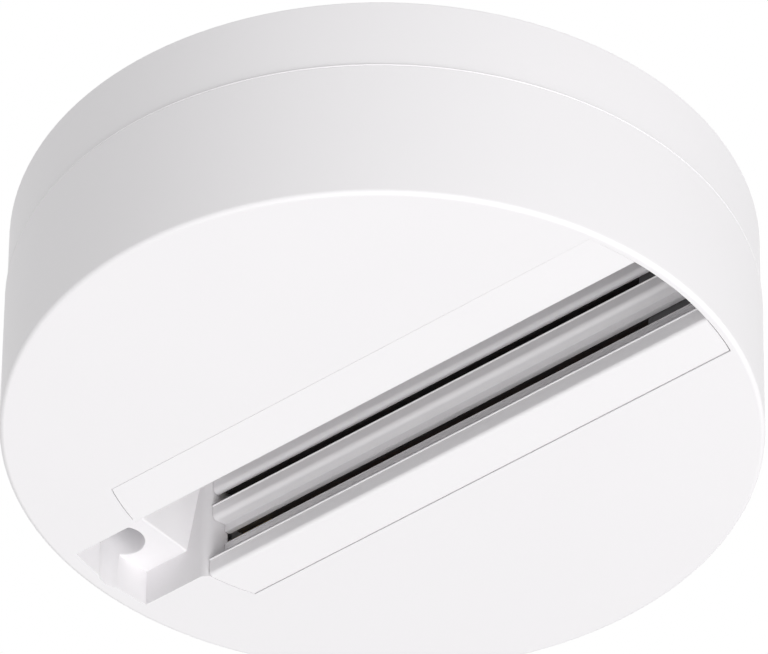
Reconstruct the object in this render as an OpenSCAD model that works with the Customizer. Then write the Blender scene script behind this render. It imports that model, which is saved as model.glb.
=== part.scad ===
// Round ceiling canopy that holds one short length of three-circuit lighting track.
// X runs along the slot, Y across it and Z up to the ceiling. The slotted face lies at Z = 0.

/* [Drum] */
// Outer diameter of the drum
drum_d = 125; // [122:0.5:140]
// Height from the slotted face to the ceiling
drum_h = 40.5; // [39:0.5:48]
// Height of the ceiling base, the upper part of the drum
base_h = 13.5; // [12:0.5:15]
// Thickness of the round wall of base and cover
wall_t = 1.5; // [1.2:0.1:1.8]
// Thickness of the cover's flat face
face_t = 2; // [1.6:0.1:2.6]
// Thickness of the base's ceiling plate
plate_t = 2; // [1.6:0.1:2.6]
// Rounding of the cover's lower outer edge
edge_r = 0.8; // [0.4:0.1:1.2]
// Distance that the base's round wall stands back from the cover's
base_set = 0.3; // [0.1:0.1:0.5]
// Thickness of the base's locating ring
ring_t = 1.4; // [1:0.1:2]
// Depth that the locating ring reaches into the cover
ring_h = 3; // [2:0.5:4]

/* [Track] */
// Overall width of the track
track_w = 36; // [35.5:0.1:37]
// Overall height of the track
track_h = 33; // [32:0.1:34]
// Width of the slot between the lips
slot_w = 17.6; // [17.2:0.1:18]
// Thickness of the track's outer walls
side_t = 1.5; // [1.2:0.1:1.7]
// Thickness of the track's roof
roof_t = 1.5; // [1.2:0.1:2]
// Thickness of the lip's flat part
lip_t = 1.8; // [1.4:0.1:2.2]
// Height of the lip's inner edge
lip_h = 3.9; // [3.4:0.1:4.3]
// Width of the lip's inner edge
lip_edge_w = 2; // [1.6:0.1:2.4]
// Rounding of the lip's lower inner edge
lip_r = 0.6; // [0.4:0.1:1]
// Distance from the drum's side to the arc that cuts the track's left end
left_margin = 16.1; // [15.8:0.1:17]

/* [Grooves] */
// Height of the latch space between the lip and the lower shelf
latch_h = 2.8; // [2.5:0.1:3.1]
// Thickness of the lower shelf
low_shelf_t = 1.6; // [1.3:0.1:1.9]
// Height of the lower groove's mouth
low_mouth_h = 2.3; // [2.1:0.1:2.6]
// Height of the short flange above the lower mouth
low_flange_h = 1.5; // [1.2:0.1:1.8]
// Thickness of the short flange
low_flange_t = 1; // [0.8:0.1:1.1]
// Distance from the slot's middle to the set-back lower groove
low_y = 12.35; // [12:0.05:12.6]
// Height of the middle rib
mid_rib_h = 2.9; // [2.6:0.1:3.2]
// Height of the upper groove's mouth
up_mouth_h = 2.7; // [2.5:0.1:3]
// Height of the flange above the upper mouth
up_flange_h = 2.3; // [2:0.1:2.6]
// Thickness of the middle and upper ribs
rib_t = 1.2; // [1:0.1:1.4]
// Distance that the ribs stand back from the lips
rib_set = 1; // [0.8:0.1:1.2]
// Rounding of the middle and upper ribs' lower inner edges
rib_r = 1; // [0.5:0.1:1]

/* [Conductors] */
// Thickness of an upper conductor
up_cond_t = 1; // [0.8:0.1:1.2]
// Height of an upper conductor
up_cond_h = 3.3; // [3.1:0.1:3.6]
// Insulation behind an upper conductor
up_back_t = 1.2; // [1:0.1:1.4]
// Thickness of a lower conductor
low_cond_t = 0.8; // [0.6:0.1:0.9]
// Height of a lower conductor
low_cond_h = 2.4; // [2.2:0.1:2.6]
// Insulation behind a lower conductor
low_back_t = 0.5; // [0.4:0.1:0.7]
// Insulation below a lower conductor's groove
low_floor_t = 0.6; // [0.5:0.1:0.8]
// Insulation below a lower conductor
low_under_t = 0.4; // [0.3:0.1:0.5]
// Distance that the insulators stand back from the track's left end
insulator_set = 1.2; // [0.8:0.1:1.6]
// Distance that the conductors stand back from the insulators' left ends
conductor_set = 1; // [0.5:0.1:1.5]
// Distance from the drum's side to the insulators' right ends
right_margin = 17.5; // [14:0.5:22]

/* [Pocket] */
// Depth of the end pocket
pocket_h = 7; // [6:0.1:7.5]
// Thickness of the drum's wall at the pocket's outer end
pocket_end_t = 3; // [2.6:0.1:3.4]
// Thickness of the pocket's roof and ramp
pocket_t = 1.6; // [1.3:0.1:1.9]
// Thickness of the pocket's side walls, which end in a round of this radius
cheek_t = 1.9; // [1.6:0.1:2.1]
// Height of the walls that close the track's left end
stop_h = 23.5; // [22:0.1:24]
// Distance that the foot of the ramp lies from the track's left end
ramp_run = 3.6; // [3.2:0.1:4]
// Distance from the drum's side to the cover screw
cover_screw_set = 5.9; // [5.7:0.1:6.2]
// Radius of the cover screw's recess
recess_r = 3.7; // [3.5:0.1:3.9]
// Height of the face on which the cover screw's head bears
recess_h = 14.4; // [13.5:0.1:15.5]

/* [Feed block] */
// Distance from the track's left end to the feed block
feed_gap = 2.4; // [2.2:0.1:2.6]
// Length of the feed block along the slot
feed_len = 7.2; // [6.8:0.1:7.4]
// Gap between the pocket's side walls and the feed block's legs
leg_gap = 0.4; // [0.3:0.1:0.6]
// Thickness of a leg across the slot
leg_w = 6; // [5.8:0.1:6.2]
// Wall of the legs and height of the ledge below the lower terminal
leg_wall = 1; // [0.8:0.1:1.1]
// Thickness of the legs' front wall
leg_front_t = 1.4; // [1:0.1:1.8]
// Height of the plate that joins the legs
bridge_h = 7; // [6:0.5:7.5]
// Gap from the top of the feed block to the level of the track's roof
bridge_drop = 2; // [1.5:0.5:3]
// Height of an upper terminal
up_terminal_h = 4.8; // [4.4:0.1:5]
// Height of a lower terminal
low_terminal_h = 4; // [3.8:0.1:4.2]
// Depth of the contact blades
blade_t = 0.8; // [0.6:0.1:0.9]
// Length of the contact blades along the conductors
blade_reach = 8; // [6:0.5:12]
// Diameter of the wire holes in the terminals
wire_d = 2.8; // [2.4:0.1:3]
// Depth of the wire holes
wire_depth = 4.6; // [4:0.1:5]

/* [Fixings] */
// Distance between the two slotted fixing holes
fixing_pitch = 80; // [76:1:84]
// Width of a fixing hole
fixing_w = 4.6; // [4:0.1:5.5]
// Length of a fixing hole
fixing_len = 10; // [8:0.5:12]
// Place of the cable entry along the slot
entry_x = -22; // [-26:0.5:-18]
// Place of the cable entry across the slot
entry_y = 37; // [35:0.5:38]
// Diameter of the cable entry
entry_d = 20; // [18:0.5:21]
// Diameter of the grommet's hole
cable_d = 10; // [8:0.5:12]
// Width of the grommet's inner flange beyond the entry
grommet_flange_w = 2.5; // [2:0.1:3]
// Height of the grommet's inner flange
grommet_flange_h = 2; // [1.5:0.1:2.5]
// Width of the grommet's outer bead beyond the entry
grommet_bead_w = 1.2; // [0.8:0.1:1.5]
// Height of the grommet's outer bead
grommet_bead_h = 0.8; // [0.6:0.1:1]
// Distance between the two track screws
track_screw_pitch = 54; // [48:1:60]
// Distance that the pair of track screws lies to the right of the drum's middle
track_screw_shift = 7; // [5:0.5:9]
// Distance from the track's left end to the earth screw
earth_set = 12.4; // [11:0.1:14]
// Place of the earth screw across the slot
earth_y = 9; // [8:0.5:10]
// Place of the feed block's screws across the slot
feed_screw_y = 7.9; // [7.7:0.1:8]
// Width and length of the earth clamp
earth_clamp_w = 9; // [8:0.5:10]
// Thickness of the earth clamp
earth_clamp_t = 1.2; // [1:0.1:1.5]
// Height of the earth nut
earth_nut_h = 3.2; // [2.8:0.1:3.4]

/* [Catches] */
// Angle between the slot and the two catches at the right side
catch_angle = 32; // [28:1:40]
// Width of a catch
catch_w = 9; // [7:0.5:11]
// Thickness of the base's tongues
tongue_t = 1.4; // [1.2:0.1:1.8]
// Length of the base's tongues below the locating ring
tongue_len = 6; // [5:0.5:8]
// Height of the tongues' lips and of the cover's lugs
catch_lip_h = 1.4; // [1.2:0.1:1.8]
// Height of the ribs along the cover's window above the face
window_rib_h = 1.5; // [1:0.5:3]

/* [Screws] */
// Diameter of the main screws
screw_d = 4; // [3.5:0.1:4.2]
// Diameter of the main screws' heads
head_d = 6.8; // [6.4:0.1:6.9]
// Height of the main screws' heads
head_h = 2.5; // [2.2:0.1:2.8]
// Outer diameter of the threaded inserts
insert_d = 5.8; // [5.6:0.1:6]
// Length of the threaded inserts
insert_len = 4.6; // [4:0.1:5]
// Diameter of the feed block's screws
small_screw_d = 2.9; // [2.5:0.1:3]
// Diameter of the small screws' heads
small_head_d = 5.4; // [5:0.1:5.6]
// Height of the small screws' heads
small_head_h = 1.8; // [1.6:0.1:2]
// Diameter of the terminal screws
terminal_screw_d = 2.6; // [2.2:0.1:2.8]
// Height of the terminal screws' heads
terminal_head_h = 1.4; // [1.2:0.1:1.6]
// Length of the cover screw below its head
cover_screw_len = 12; // [9:0.5:16]
// Depth of the feed block's screws in the base
small_screw_depth = 5; // [4:0.5:6]
// Diameter of the pillar that takes the cover screw
cover_pillar_d = 8; // [7.6:0.1:8.2]
// Wall of the other pillars round their insert or screw
boss_t = 1.6; // [1.2:0.1:2]

/* [Clearances] */
// Gap between the track and the cover's window along the sides
window_gap = 0.15; // [0.1:0.05:0.3]
// Gap between the track's ends and the cover
end_gap = 0.15; // [0.1:0.05:0.3]
// Gap round the insulators in the track
slide_gap = 0.1; // [0.05:0.05:0.15]
// Radial gap between the locating ring and the cover
ring_gap = 0.2; // [0.1:0.05:0.3]
// Radial gap between a screw and its thread
thread_gap = 0.05; // [0.02:0.01:0.1]
// Radial gap of a screw in its through hole
hole_gap = 0.25; // [0.15:0.05:0.4]
// Gap round the contact blades, the cover screw's pillar, the tongues and the earth screw's head
free_gap = 0.4; // [0.3:0.05:0.5]

/* [Hidden] */
$fn = 96;

white = [0.95, 0.95, 0.95];
black = [0.08, 0.08, 0.08];
grey = [0.3, 0.3, 0.31];
copper = [0.72, 0.45, 0.3];
brass = [0.78, 0.66, 0.36];
steel = [0.7, 0.71, 0.72];
far = 1;
near = -1;
// Distance that a cut runs past the face it opens
cut = 1;

// Drum levels and radii
drum_r = drum_d / 2;
base_r = drum_r - base_set;
inner_r = drum_r - wall_t;
joint_z = drum_h - base_h;
plate_z = drum_h - plate_t;
ring_r = inner_r - ring_gap;
ring_inner_r = ring_r - ring_t;

// Track outline
track_y = track_w / 2;
slot_y = slot_w / 2;
left_r = drum_r - left_margin;
right_r = inner_r - end_gap;
window_y = track_y + window_gap;
window_r = left_r + end_gap;
chamber_y = track_y - side_t;
roof_z = track_h - roof_t;
rib_y = slot_y + rib_set;

// Levels in the slot's wall, from the lip up
low_shelf_z = lip_h + latch_h;
low_mouth_z = low_shelf_z + low_shelf_t;
low_flange_z = low_mouth_z + low_mouth_h;
mid_rib_z = low_flange_z + low_flange_h;
up_mouth_z = mid_rib_z + mid_rib_h;
up_flange_z = up_mouth_z + up_mouth_h;
up_shelf_z = up_flange_z + up_flange_h;

// Conductors in their insulators
insulator_y = chamber_y - slide_gap;
insulator_r = left_r - insulator_set;
insulator_end_x = drum_r - right_margin;
conductor_r = insulator_r - conductor_set;
up_front_y = rib_y + rib_t + slide_gap;
up_cond_y = insulator_y - up_back_t - up_cond_t;
up_groove_z = up_mouth_z + up_mouth_h / 2;
low_front_y = low_y + low_flange_t + slide_gap;
low_cond_y = insulator_y - low_back_t - low_cond_t;
low_floor_z = low_mouth_z + slide_gap;
low_groove_h = low_mouth_h - slide_gap - low_floor_t;
low_groove_z = low_flange_z - low_groove_h / 2;

// Pocket, ramp and the rounded ends of the pocket's side walls
pocket_r = drum_r - pocket_end_t;
// back of the pocket's outer end, inside the drum's wall and short of its rounded edge
pocket_back_r = (inner_r + drum_r - edge_r) / 2;
cheek_y = slot_y + cheek_t;
// overlap of the round with the wall behind it
corner_overlap = 0.05;
corner_r = window_r + cheek_t - corner_overlap;
corner_x = -chord(corner_r, cheek_y);
neck_y = cheek_y * window_r / corner_r;
ramp_x = -left_r - ramp_run;
cover_screw_x = cover_screw_set - drum_r;
tube_r = recess_r + pocket_t;
tube_z = recess_h + pocket_t;

// Feed block and terminals
feed_front_x = -left_r - feed_gap;
feed_back_x = feed_front_x - feed_len;
bridge_top_z = track_h - bridge_drop;
bridge_z = bridge_top_z - bridge_h;
leg_y = cheek_y + leg_gap;
leg_z = low_groove_z - low_terminal_h / 2 - leg_wall;
terminal_len = feed_len - leg_front_t;
terminal_y = leg_y + leg_wall;
terminal_w = leg_w - 2 * leg_wall;
terminal_mid_x = feed_back_x + terminal_len / 2;
blade_end_x = blade_reach - conductor_r;
// room above and below a blade in its groove
blade_room = 0.3;
up_blade_h = up_mouth_h - 2 * blade_room;
low_blade_h = low_groove_h - blade_room;
feed_screw_x = feed_back_x + feed_len / 2;

// Screws
thread_r = screw_d / 2;
insert_r = insert_d / 2;
// distance that a screw stops short of the end of its hole, and bevel of its tip
tip_gap = 0.4;
// distance that a terminal screw's head stands out from its thread
head_flange = 0.7;
terminal_head_r = terminal_screw_d / 2 + head_flange;
track_screw_x = [
    track_screw_shift - track_screw_pitch / 2,
    track_screw_shift + track_screw_pitch / 2
];
earth_x = earth_set - left_r;
catch_z = joint_z - ring_h - tongue_len;

// Half the chord of a circle of radius r at distance y from its middle
function chord(r, y) = sqrt(r * r - y * y);

// X of the ramp's face, and of its back, at height z
function ramp_face(z) = ramp_x + (z - pocket_h) * (ramp_run - end_gap) / (stop_h - pocket_h);
function ramp_back(z) = ramp_face(z) - pocket_t;

// Straight bar of a profile drawn in the Y-Z plane
module along_slot(x0, x1) {
    translate([x0, 0, 0])
        rotate([90, 0, 90])
            linear_extrude(x1 - x0) children();
}

// Plate of a profile drawn in the X-Z plane
module across_slot(y0, y1) {
    translate([0, y1, 0])
        rotate([90, 0, 0])
            linear_extrude(y1 - y0) children();
}

// What is drawn on the far side of the slot, on the side asked for or on both
module on_side(side) {
    mirror([0, side == near ? 1 : 0, 0]) children();
}

module both_sides() {
    for (side = [far, near]) on_side(side) children();
}

// Plan of a bar with a left end of radius r0 and a right end of radius r1
module arc_ended(r0, r1, half_w) {
    intersection() {
        translate([-drum_r, -half_w]) square([drum_d, 2 * half_w]);
        union() {
            intersection() {
                circle(r0);
                translate([-drum_r, -drum_r]) square([drum_r, drum_d]);
            }
            intersection() {
                circle(r1);
                translate([0, -drum_r]) square([drum_r, drum_d]);
            }
        }
    }
}

// Screw for a thread of radius r, which points up from the underside of its head
module pan_screw(r, len, head_r, h) {
    shank_r = r - thread_gap;
    rotate_extrude()
        polygon([
            [0, -h], [head_r - h / 2, -h], [head_r, -h / 2], [head_r, 0],
            [shank_r, 0], [shank_r, len - tip_gap], [shank_r - tip_gap, len], [0, len]
        ]);
}

// Rectangle whose lower left corner is rounded
module soft_corner(size, r) {
    translate([r, 0]) square([size.x - r, size.y]);
    translate([0, r]) square([size.x, size.y - r]);
    intersection() {
        square(r);
        translate([r, r]) circle(r);
    }
}

module tube(r_out, r_in, h) {
    difference() {
        cylinder(r = r_out, h = h);
        translate([0, 0, -cut]) cylinder(r = r_in, h = h + 2 * cut);
    }
}

// Ceiling base

module base_shell() {
    rotate_extrude()
        polygon([
            [0, plate_z], [inner_r, plate_z], [inner_r, joint_z], [base_r, joint_z],
            [base_r, drum_h], [0, drum_h]
        ]);
}

// Ring that reaches into the cover, with a gap for the track's right end
module locating_ring() {
    root_r = (inner_r + base_r) / 2;
    difference() {
        rotate_extrude()
            polygon([
                [ring_inner_r, joint_z - ring_h], [ring_r, joint_z - ring_h], [ring_r, joint_z],
                [root_r, joint_z], [root_r, joint_z + ring_h], [ring_inner_r, joint_z + ring_h]
            ]);
        translate([0, -window_y, 0]) cube([drum_r, 2 * window_y, drum_h]);
    }
}

// Spring tongue, which hangs from the locating ring and whose lip carries a lug of the cover
module base_tongue() {
    tongue_r = ring_inner_r - free_gap;
    root_r = (ring_inner_r + ring_r) / 2;
    root_z = joint_z - ring_h / 2;
    intersection() {
        rotate_extrude()
            polygon([
                [tongue_r - tongue_t, catch_z], [ring_r, catch_z], [ring_r, catch_z + catch_lip_h],
                [tongue_r, catch_z + catch_lip_h], [tongue_r, root_z], [root_r, root_z],
                [root_r, joint_z + tongue_t], [tongue_r - tongue_t, joint_z + tongue_t]
            ]);
        translate([0, -catch_w / 2, 0]) cube([drum_r, catch_w, drum_h]);
    }
}

module base_pillars() {
    translate([cover_screw_x, 0, tube_z]) cylinder(d = cover_pillar_d, h = plate_z + cut - tube_z);
    for (x = track_screw_x)
        translate([x, 0, track_h]) cylinder(r = insert_r + boss_t, h = plate_z + cut - track_h);
    both_sides()
        translate([feed_screw_x, feed_screw_y, bridge_top_z])
            cylinder(r = small_screw_d / 2 + boss_t, h = plate_z + cut - bridge_top_z);
}

// Slotted hole that runs away from the drum's middle
module fixing_hole() {
    linear_extrude(plate_t + 2 * cut) {
        square([fixing_w, fixing_len - fixing_w], center = true);
        for (end = [-1, 1])
            translate([0, end * (fixing_len - fixing_w) / 2]) circle(fixing_w / 2);
    }
}

module base_holes() {
    translate([cover_screw_x, 0, tube_z - cut]) {
        cylinder(r = insert_r, h = insert_len + cut);
        cylinder(r = thread_r, h = cover_screw_len + cut);
    }
    for (x = track_screw_x)
        translate([x, 0, track_h - cut]) cylinder(r = insert_r, h = insert_len + cut);
    both_sides() {
        translate([feed_screw_x, feed_screw_y, bridge_top_z - cut])
            cylinder(r = small_screw_d / 2, h = small_screw_depth + tip_gap + cut);
        translate([0, fixing_pitch / 2, plate_z - cut]) fixing_hole();
    }
    // room for the earth screw's head where the base comes down close to the track
    translate([earth_x, earth_y, track_h])
        cylinder(d = head_d + 2 * free_gap, h = earth_clamp_t + head_h + free_gap);
    translate([entry_x, entry_y, plate_z - cut]) cylinder(d = entry_d, h = plate_t + 2 * cut);
    translate([entry_x, entry_y, drum_h - grommet_bead_h])
        cylinder(d = entry_d + 2 * grommet_bead_w, h = grommet_bead_h + cut);
}

module ceiling_base() {
    color(white)
        difference() {
            union() {
                base_shell();
                locating_ring();
                base_pillars();
                for (angle = [-catch_angle, catch_angle]) rotate(angle) base_tongue();
            }
            base_holes();
        }
}

// Cover

module cover_shell() {
    rotate_extrude()
        difference() {
            union() {
                square([drum_r - edge_r, face_t]);
                translate([inner_r, edge_r]) square([wall_t, joint_z - edge_r]);
                translate([drum_r - edge_r, edge_r]) circle(edge_r);
            }
            translate([-cut, -cut]) square([cut, drum_h]);
        }
}

// Plan of the opening in the face: the window, the pocket and the rounded neck between them
module face_opening() {
    arc_ended(window_r, inner_r, window_y);
    intersection() {
        circle(pocket_r);
        translate([-drum_r, -slot_y]) square([drum_r, slot_w]);
    }
    difference() {
        translate([corner_x, -neck_y]) square([-corner_x, 2 * neck_y]);
        for (side = [far, near])
            translate([corner_x, side * cheek_y]) circle(cheek_t);
    }
}

// Side wall of the pocket, from within the pocket's outer end, whose back follows the ramp
module cheek_profile() {
    end_x = -chord((pocket_r + pocket_back_r) / 2, cheek_y);
    polygon([
        [end_x, 0], [corner_x, 0], [corner_x, stop_h],
        [ramp_back(stop_h), stop_h], [ramp_back(pocket_h + pocket_t), pocket_h + pocket_t],
        [end_x, pocket_h + pocket_t]
    ]);
}

module ramp_profile() {
    polygon([
        [ramp_back(pocket_h), pocket_h], [ramp_face(pocket_h), pocket_h],
        [ramp_face(stop_h), stop_h], [ramp_back(stop_h), stop_h]
    ]);
}

// Wall that closes the far half of the track's left end, with a way in for the contact blades
module track_stop() {
    blade_way_y = up_cond_y - blade_t - free_gap;
    intersection() {
        translate([corner_x, cheek_y, 0]) cylinder(r = cheek_t, h = stop_h);
        translate([corner_x, 0, 0]) cube([2 * cheek_t, drum_r, stop_h]);
    }
    difference() {
        intersection() {
            tube(corner_r, window_r, stop_h);
            translate([-drum_r, cheek_y, 0]) cube([drum_r, window_y + pocket_t - cheek_y, stop_h]);
        }
        translate([-drum_r, blade_way_y, low_groove_z - low_blade_h / 2 - free_gap])
            cube([drum_r, low_cond_y + free_gap - blade_way_y, stop_h]);
    }
}

module pocket_walls() {
    both_sides() {
        across_slot(slot_y, cheek_y) cheek_profile();
        track_stop();
    }
    across_slot(-cheek_y, cheek_y) ramp_profile();
    translate([-inner_r, -cheek_y, pocket_h]) cube([inner_r + ramp_x, 2 * cheek_y, pocket_t]);
    intersection() {
        tube(pocket_back_r, pocket_r, pocket_h + pocket_t);
        translate([-drum_r, -cheek_y, 0]) cube([drum_r, 2 * cheek_y, drum_h]);
    }
    translate([cover_screw_x, 0, pocket_h]) cylinder(r = tube_r, h = tube_z - pocket_h);
}

module window_ribs() {
    // both ends lie inside the walls that the ribs run into, and the lower edge inside the face
    rib_left_x = -chord(window_r + cheek_t / 2, window_y);
    rib_right_x = chord(inner_r + wall_t / 2, window_y + pocket_t);
    both_sides()
        translate([rib_left_x, window_y, face_t / 2])
            cube([rib_right_x - rib_left_x, pocket_t, face_t / 2 + window_rib_h]);
}

// Lug that rests on a tongue of the base
module cover_lug() {
    intersection() {
        translate([0, 0, catch_z + catch_lip_h])
            tube(inner_r + wall_t / 2, ring_inner_r + free_gap, catch_lip_h);
        translate([0, -catch_w / 2, 0]) cube([drum_r, catch_w, drum_h]);
    }
}

module cover() {
    color(white)
        difference() {
            union() {
                difference() {
                    cover_shell();
                    translate([0, 0, -cut]) linear_extrude(face_t + 2 * cut) face_opening();
                }
                pocket_walls();
                window_ribs();
                for (angle = [-catch_angle, catch_angle]) rotate(angle) cover_lug();
            }
            translate([cover_screw_x, 0, -cut]) {
                cylinder(r = recess_r, h = recess_h + cut);
                cylinder(r = thread_r + hole_gap, h = tube_z + 2 * cut);
            }
        }
}

// Track

module lip_section() {
    translate([slot_y + lip_r, 0]) square([track_y - slot_y - lip_r, lip_t]);
    translate([slot_y, 0]) soft_corner([lip_edge_w, lip_h], lip_r);
}

// Far half of the extrusion's section, with Y to the right and Z up
module track_half_section() {
    lip_section();
    translate([chamber_y, 0]) square([side_t, track_h]);
    translate([0, roof_z]) square([track_y, roof_t]);
    translate([low_y, low_shelf_z]) square([track_y - low_y, low_shelf_t]);
    translate([low_y, low_flange_z]) square([low_flange_t, low_flange_h + rib_t]);
    translate([rib_y + rib_r, mid_rib_z]) square([track_y - rib_y - rib_r, rib_t]);
    translate([rib_y, mid_rib_z]) soft_corner([rib_t, mid_rib_h], rib_r);
    translate([rib_y, up_flange_z]) soft_corner([rib_t, up_flange_h + rib_t], rib_r);
    translate([rib_y, up_shelf_z]) square([track_y - rib_y, rib_t]);
}

module track_profile() {
    color(white)
        difference() {
            intersection() {
                along_slot(-drum_r, drum_r) {
                    track_half_section();
                    mirror([1, 0]) track_half_section();
                }
                translate([0, 0, -cut])
                    linear_extrude(track_h + 2 * cut) arc_ended(left_r, right_r, drum_r);
            }
            for (place = [[track_screw_x[0], 0], [track_screw_x[1], 0], [earth_x, earth_y]])
                translate([place.x, place.y, roof_z - cut])
                    cylinder(r = thread_r + hole_gap, h = roof_t + 2 * cut);
        }
}

// Insulators, conductors and end plugs

module upper_block_section() {
    translate([up_front_y, mid_rib_z + rib_t + slide_gap])
        square([insulator_y - up_front_y, up_shelf_z - mid_rib_z - rib_t - 2 * slide_gap]);
}

module lower_block_section() {
    translate([low_front_y, low_floor_z])
        square([insulator_y - low_front_y, mid_rib_z - slide_gap - low_floor_z]);
}

module upper_conductor_section() {
    translate([up_cond_y, up_groove_z - up_cond_h / 2]) square([up_cond_t, up_cond_h]);
}

module lower_conductor_section() {
    translate([low_cond_y, low_floor_z + low_under_t]) square([low_cond_t, low_cond_h]);
}

module upper_insulator_section() {
    difference() {
        upper_block_section();
        translate([rib_y, up_mouth_z]) square([up_cond_y - rib_y, up_mouth_h]);
        upper_conductor_section();
    }
}

module lower_insulator_section() {
    difference() {
        lower_block_section();
        translate([low_y, low_groove_z - low_groove_h / 2]) square([low_cond_y - low_y, low_groove_h]);
        lower_conductor_section();
    }
}

// Bar with the section of its child, from the left arc of radius r to the insulators' right ends
module arc_cut_bar(r) {
    intersection() {
        along_slot(-drum_r, insulator_end_x) children();
        linear_extrude(track_h) arc_ended(r, right_r, track_y);
    }
}

module upper_insulator(side) {
    color(black) on_side(side) arc_cut_bar(insulator_r) upper_insulator_section();
}

module lower_insulator(side) {
    color(black) on_side(side) arc_cut_bar(insulator_r) lower_insulator_section();
}

module upper_conductor(side) {
    color(copper) on_side(side) arc_cut_bar(conductor_r) upper_conductor_section();
}

module lower_conductor(side) {
    color(copper) on_side(side) arc_cut_bar(conductor_r) lower_conductor_section();
}

module end_plug() {
    intersection() {
        along_slot(insulator_end_x, drum_r) children();
        linear_extrude(track_h) arc_ended(left_r, right_r - end_gap, track_y);
    }
}

module upper_end_plugs() {
    color(grey) both_sides() end_plug() upper_block_section();
}

module lower_end_plugs() {
    color(grey) both_sides() end_plug() lower_block_section();
}

// Feed block with its contacts

module terminal_body(z, h) {
    translate([feed_back_x, terminal_y, z - h / 2]) cube([terminal_len, terminal_w, h]);
}

// Blade from a terminal to the front of the conductor at distance y, with a gap when it is a cut
module blade(y, z, h, gap) {
    translate([terminal_mid_x, y - blade_t - gap, z - h / 2 - gap])
        cube([blade_end_x - terminal_mid_x, blade_t + 2 * gap, h + 2 * gap]);
}

module contact(y, z, terminal_h, blade_h) {
    color(brass)
        difference() {
            union() {
                terminal_body(z, terminal_h);
                blade(y, z, blade_h, 0);
            }
            translate([feed_back_x, terminal_y + terminal_w / 2, z]) {
                translate([-cut, 0, 0]) rotate([0, 90, 0]) cylinder(d = wire_d, h = wire_depth + cut);
                translate([terminal_len / 2, 0, 0])
                    rotate([-90, 0, 0]) cylinder(d = terminal_screw_d, h = terminal_w);
            }
        }
}

module upper_contact(side) {
    on_side(side) contact(up_cond_y, up_groove_z, up_terminal_h, up_blade_h);
}

module lower_contact(side) {
    on_side(side) contact(low_cond_y, low_groove_z, low_terminal_h, low_blade_h);
}

module terminal_screws() {
    color(steel)
        both_sides()
            for (z = [up_groove_z, low_groove_z])
                translate([terminal_mid_x, terminal_y + terminal_w, z])
                    rotate([90, 0, 0])
                        pan_screw(terminal_screw_d / 2, terminal_w / 2, terminal_head_r, terminal_head_h);
}

module feed_leg() {
    difference() {
        translate([feed_back_x, leg_y, leg_z]) cube([feed_len, leg_w, bridge_top_z - leg_z]);
        terminal_body(up_groove_z, up_terminal_h);
        terminal_body(low_groove_z, low_terminal_h);
        blade(up_cond_y, up_groove_z, up_blade_h, slide_gap);
        blade(low_cond_y, low_groove_z, low_blade_h, slide_gap);
        for (z = [up_groove_z, low_groove_z])
            translate([terminal_mid_x, terminal_y, z])
                rotate([-90, 0, 0]) cylinder(r = terminal_head_r + hole_gap, h = leg_w);
    }
}

module feed_block() {
    color(white)
        difference() {
            union() {
                both_sides() feed_leg();
                translate([feed_back_x, -leg_y - cut, bridge_z])
                    cube([feed_len, 2 * (leg_y + cut), bridge_h]);
            }
            // notch round the pillar of the cover screw
            translate([cover_screw_x, 0, bridge_z - cut])
                cylinder(r = cover_pillar_d / 2 + free_gap, h = bridge_h + 2 * cut);
            both_sides()
                translate([feed_screw_x, feed_screw_y, bridge_z - cut])
                    cylinder(r = small_screw_d / 2 + hole_gap, h = bridge_h + 2 * cut);
        }
}

module feed_block_screws() {
    color(steel)
        both_sides()
            translate([feed_screw_x, feed_screw_y, bridge_z])
                pan_screw(small_screw_d / 2, bridge_h + small_screw_depth, small_head_d / 2, small_head_h);
}

// Main screws, inserts and earth terminal

module main_screw(len) {
    pan_screw(thread_r, len, head_d / 2, head_h);
}

module threaded_insert() {
    tube(insert_r, thread_r, insert_len);
}

module track_screws() {
    color(steel)
        for (x = track_screw_x)
            translate([x, 0, roof_z]) main_screw(roof_t + insert_len - tip_gap);
}

module track_inserts() {
    color(brass)
        for (x = track_screw_x) translate([x, 0, track_h]) threaded_insert();
}

module cover_screw() {
    color(steel) translate([cover_screw_x, 0, recess_h]) main_screw(cover_screw_len);
}

module cover_insert() {
    color(brass) translate([cover_screw_x, 0, tube_z]) threaded_insert();
}

module earth_clamp() {
    color(brass)
        translate([earth_x, earth_y, track_h])
            linear_extrude(earth_clamp_t)
                difference() {
                    square(earth_clamp_w, center = true);
                    circle(thread_r + hole_gap);
                }
}

module earth_screw() {
    color(steel)
        translate([earth_x, earth_y, track_h + earth_clamp_t])
            rotate([180, 0, 0]) main_screw(earth_clamp_t + roof_t + earth_nut_h);
}

module earth_nut() {
    color(steel)
        translate([earth_x, earth_y, roof_z - earth_nut_h])
            difference() {
                cylinder(d = 2 * screw_d, h = earth_nut_h, $fn = 6);
                translate([0, 0, -cut]) cylinder(r = thread_r, h = earth_nut_h + 2 * cut);
            }
}

// Cable entry

module cable_grommet() {
    neck_r = entry_d / 2 - slide_gap;
    bead_r = neck_r + grommet_bead_w;
    flange_r = entry_d / 2 + grommet_flange_w;
    top_z = drum_h - slide_gap;
    color(black)
        translate([entry_x, entry_y, 0])
            rotate_extrude()
                polygon([
                    [cable_d / 2, plate_z - grommet_flange_h], [flange_r, plate_z - grommet_flange_h],
                    [flange_r, plate_z], [neck_r, plate_z],
                    [neck_r, drum_h - grommet_bead_h], [bead_r, drum_h - grommet_bead_h],
                    [bead_r, top_z], [cable_d / 2, top_z]
                ]);
}

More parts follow.
